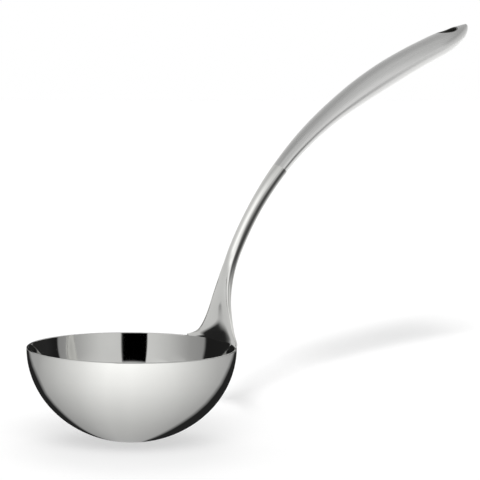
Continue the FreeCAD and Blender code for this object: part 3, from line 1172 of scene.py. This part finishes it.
def blended_rows(add, share, place, rows):
    """Tones by angle that change from row to row with a place across the rows."""
    tones = tone_ramp(add, share, rows[0][1])
    for (start, _), (end, next_tones) in zip(rows, rows[1:]):
        step = remap(add, place, (start, end))
        further = tone_ramp(add, share, next_tones)
        tones = add("ShaderNodeMix", [(0, step), (6, tones), (7, further)], data_type="RGBA").outputs[2]
    return tones


def directly_seen(add):
    """1 where the steel shows a screen, and 0 for light that the steel would pass on to the floor."""
    depth = add("ShaderNodeLightPath").outputs["Diffuse Depth"]
    return calculate(add, "LESS_THAN", depth, 0.5)


def shine(add, tones, clear):
    """Light of a screen, at twice the strength of its ramps. A clear one lets through what is behind it."""
    strength = calculate(add, "MULTIPLY", directly_seen(add), 2.0)
    light = add("ShaderNodeEmission", [(0, tones), (1, strength)])
    if clear:
        glass = add("ShaderNodeBsdfTransparent")
        light = add("ShaderNodeAddShader", [(0, light.outputs[0]), (1, glass.outputs[0])])
    add("ShaderNodeOutputMaterial", [(0, light.outputs[0])])


def make_standing_screen(name, radius, screen_rows, shown_by, clear):
    material = empty_material(name)
    add = node_maker(material)
    share, height = angle_from_camera(add)
    sine = calculate(add, "DIVIDE", height, radius)
    rows = [(math.sin(math.radians(rise)), tones) for rise, tones in screen_rows]
    shine(add, blended_rows(add, share, sine, rows), clear)
    points = []
    for i in range(SCREEN_LEVELS + 1):
        rise = math.pi / 2 * i / SCREEN_LEVELS
        level = radius * math.cos(rise)
        for j in range(SCREEN_SEGMENTS):
            turn = 2 * math.pi * j / SCREEN_SEGMENTS
            points.append((level * math.cos(turn), level * math.sin(turn), radius * math.sin(rise)))
    mesh = bpy.data.meshes.new(name)
    mesh.from_pydata(points, [], tube_faces(SCREEN_LEVELS + 1, SCREEN_SEGMENTS))
    add_screen(name, mesh, material, shown_by)


def lying_tones(add, share, away):
    """Tones of the bowl's lying screen: light in front, a painted shadow of the bowl that is darker near its
    foot and dark past either edge, and less light behind.
    """
    place = calculate(add, "DIVIDE", away, FAR_RADIUS)
    rows = [(r / FAR_RADIUS, (turn_share(a), turn_share(b), level / 2)) for r, level, a, b in LYING_ROWS]
    edges = add("ShaderNodeSeparateColor", [(0, colour_ramp(add, place, rows))]).outputs
    soft = EDGE_SOFTNESS / 360
    tones = tone_ramp(add, share, LYING_TONES)
    past_left = calculate(add, "SUBTRACT", share, edges[0])
    past_right = calculate(add, "SUBTRACT", edges[1], share)
    for past in (past_left, past_right):
        tones = calculate(add, "MULTIPLY", tones, remap(add, past, (-soft, soft / 2)))
    # The rows' brightness dims the screen close to the bowl's foot, as painted contact shade
    level = calculate(add, "MULTIPLY", edges[2], 2.0)
    tones = calculate(add, "MULTIPLY", tones, level)
    # The painted shadow past the edges goes no darker than its shadow tone, and straight behind the bowl the
    # screen is lighter again
    dark = [(-180, BEHIND_TONE), (-BEHIND_START - EDGE_SOFTNESS, BEHIND_TONE), (-BEHIND_START, PAINTED_SHADOW_TONE)]
    dark += [(-degrees, tone) for degrees, tone in reversed(dark)]
    tones = calculate(add, "MAXIMUM", tones, tone_ramp(add, share, dark))
    step = remap(add, away, (LYING_ROWS[-1][0], FAR_RADIUS))
    far = tone_ramp(add, share, FAR_TONES)
    return add("ShaderNodeMix", [(0, step), (6, tones), (7, far)], data_type="RGBA").outputs[2]


def make_bowl_lying_screen(name, lift):
    material = empty_material(name)
    add = node_maker(material)
    share, _ = angle_from_camera(add)
    place = add("ShaderNodeTexCoord").outputs["Object"]
    away = add("ShaderNodeVectorMath", [(0, place)], operation="LENGTH").outputs["Value"]
    shine(add, lying_tones(add, share, away), False)
    add_screen(name, level_square(name, SCREEN_RADIUS, lift), material, BOWL_PIECES)


def make_lying_screen(name, lift, tones, shown_by):
    material = empty_material(name)
    add = node_maker(material)
    share, _ = angle_from_camera(add)
    shine(add, tone_ramp(add, share, tones), True)
    add_screen(name, level_square(name, SCREEN_RADIUS, lift), material, shown_by)


make_standing_screen("bowl_screen", SCREEN_RADIUS, BOWL_SCREEN_ROWS, BOWL_PIECES, False)
make_standing_screen("neck_screen", SCREEN_RADIUS - SCREEN_GAP, NECK_SCREEN_ROWS, NECK_PIECES, True)
make_standing_screen("grip_screen", SCREEN_RADIUS - 2 * SCREEN_GAP, GRIP_SCREEN_ROWS, GRIP_PIECES, True)
make_bowl_lying_screen("bowl_floor_screen", 2 * SCREEN_LIFT)
make_lying_screen("neck_floor_screen", 3 * SCREEN_LIFT, NECK_FLOOR_TONES, NECK_PIECES)
make_lying_screen("grip_floor_screen", 4 * SCREEN_LIFT, GRIP_FLOOR_TONES, GRIP_PIECES)

scene.view_settings.view_transform = "Standard"
